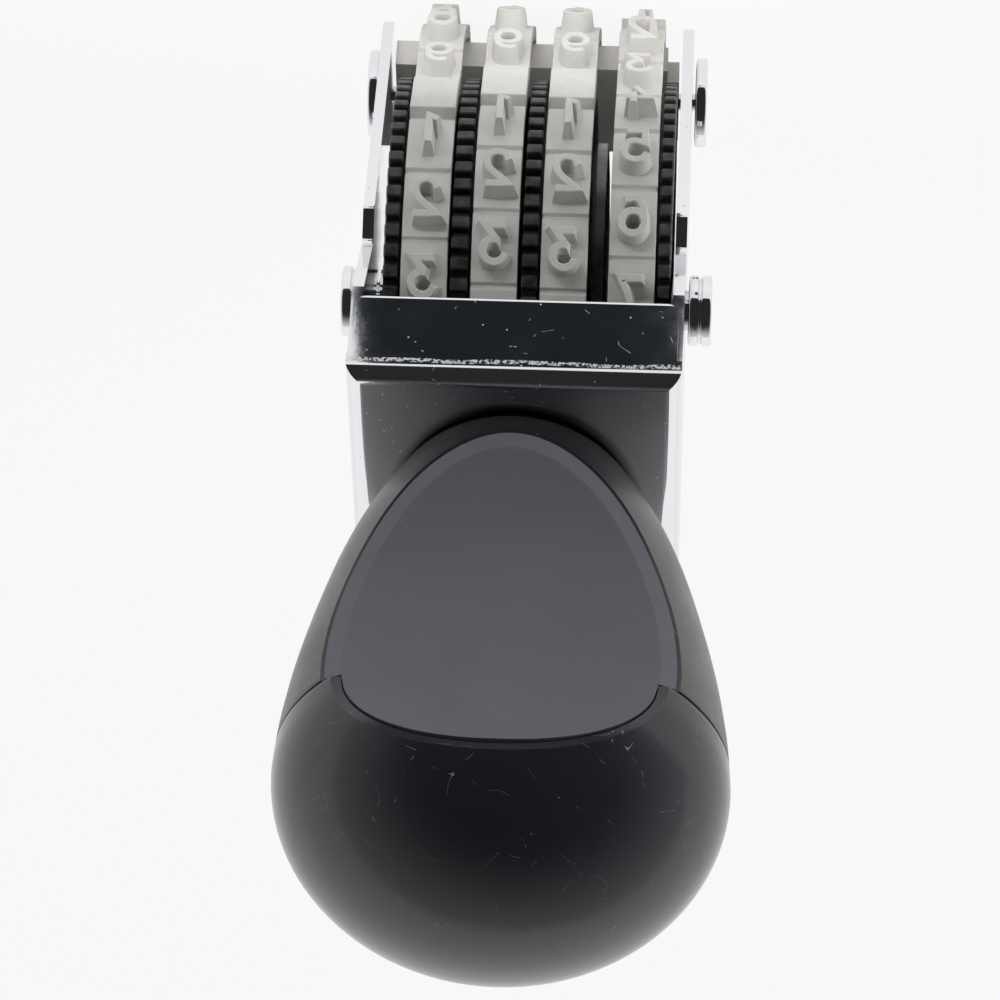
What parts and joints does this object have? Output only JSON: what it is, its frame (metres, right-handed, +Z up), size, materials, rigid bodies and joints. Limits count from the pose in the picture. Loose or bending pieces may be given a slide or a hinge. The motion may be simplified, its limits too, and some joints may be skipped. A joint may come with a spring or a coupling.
{
  "type": "number band stamp",
  "caption": "Hand stamp with a bulb handle on a bent metal frame, where toothed wheels turn rubber number bands over a narrow anvil.",
  "frame": {"origin": "middle of the print face under the stamp: centre of the bounding box, on the plane of the digit tops", "axes": "+Z up along the handle, X along the wheel axle, -Y towards the front with the label"},
  "size_m": [0.039, 0.0444, 0.0972],
  "materials": {
    "frame": "bright chromed sheet, light wear",
    "handle_body": "black moulded plastic, satin",
    "handle_cap": "black moulded plastic, gloss",
    "label_plate": "dark grey plastic, matt, bare",
    "handle_screw": "zinc-plated steel",
    "wheel_axle": "plain steel rod",
    "axle_cap_left": "bright plated steel",
    "axle_cap_right": "bright plated steel",
    "hub_spacer_left": "plain steel washer",
    "hub_spacer_right": "plain steel washer",
    "number_wheel_1": "black moulded plastic",
    "number_wheel_2": "black moulded plastic",
    "number_wheel_3": "black moulded plastic",
    "number_wheel_4": "black moulded plastic",
    "number_band_1": "warm light grey rubber",
    "number_band_2": "warm light grey rubber",
    "number_band_3": "warm light grey rubber",
    "number_band_4": "warm light grey rubber",
    "divider_plate": "grey plastic sheet",
    "anvil_bar": "off-white moulded plastic",
    "anvil_pin": "plain steel rod",
    "anvil_pin_head_left": "bright plated steel",
    "anvil_pin_head_right": "bright plated steel"
  },
  "bodies": {
    "stamp": {"frame": "frame", "handle_body": "handle_body", "handle_cap": "handle_cap", "label_plate": "label_plate", "handle_screw": "handle_screw", "wheel_axle": "wheel_axle", "axle_cap_left": "axle_cap_left", "axle_cap_right": "axle_cap_right", "hub_spacer_left": "hub_spacer_left", "hub_spacer_right": "hub_spacer_right", "number_band_1": "number_band_1", "number_band_2": "number_band_2", "number_band_3": "number_band_3", "number_band_4": "number_band_4", "divider_plate": "divider_plate", "anvil_bar": "anvil_bar", "anvil_pin": "anvil_pin", "anvil_pin_head_left": "anvil_pin_head_left", "anvil_pin_head_right": "anvil_pin_head_right"},
    "wheel_1": {"number_wheel_1": "number_wheel_1"},
    "wheel_2": {"number_wheel_2": "number_wheel_2"},
    "wheel_3": {"number_wheel_3": "number_wheel_3"},
    "wheel_4": {"number_wheel_4": "number_wheel_4"}
  },
  "joints": [
    {"name": "wheel_1_turn", "type": "hinge", "parent": "stamp", "child": "wheel_1", "pos_m": [0.0092, 0, 0.0294], "axis": [1, 0, 0], "continuous": true},
    {"name": "wheel_2_turn", "type": "hinge", "parent": "stamp", "child": "wheel_2", "pos_m": [0.0032, 0, 0.0294], "axis": [1, 0, 0], "continuous": true},
    {"name": "wheel_3_turn", "type": "hinge", "parent": "stamp", "child": "wheel_3", "pos_m": [-0.0029, 0, 0.0294], "axis": [1, 0, 0], "continuous": true},
    {"name": "wheel_4_turn", "type": "hinge", "parent": "stamp", "child": "wheel_4", "pos_m": [-0.0103, 0, 0.0294], "axis": [1, 0, 0], "continuous": true}
  ]
}
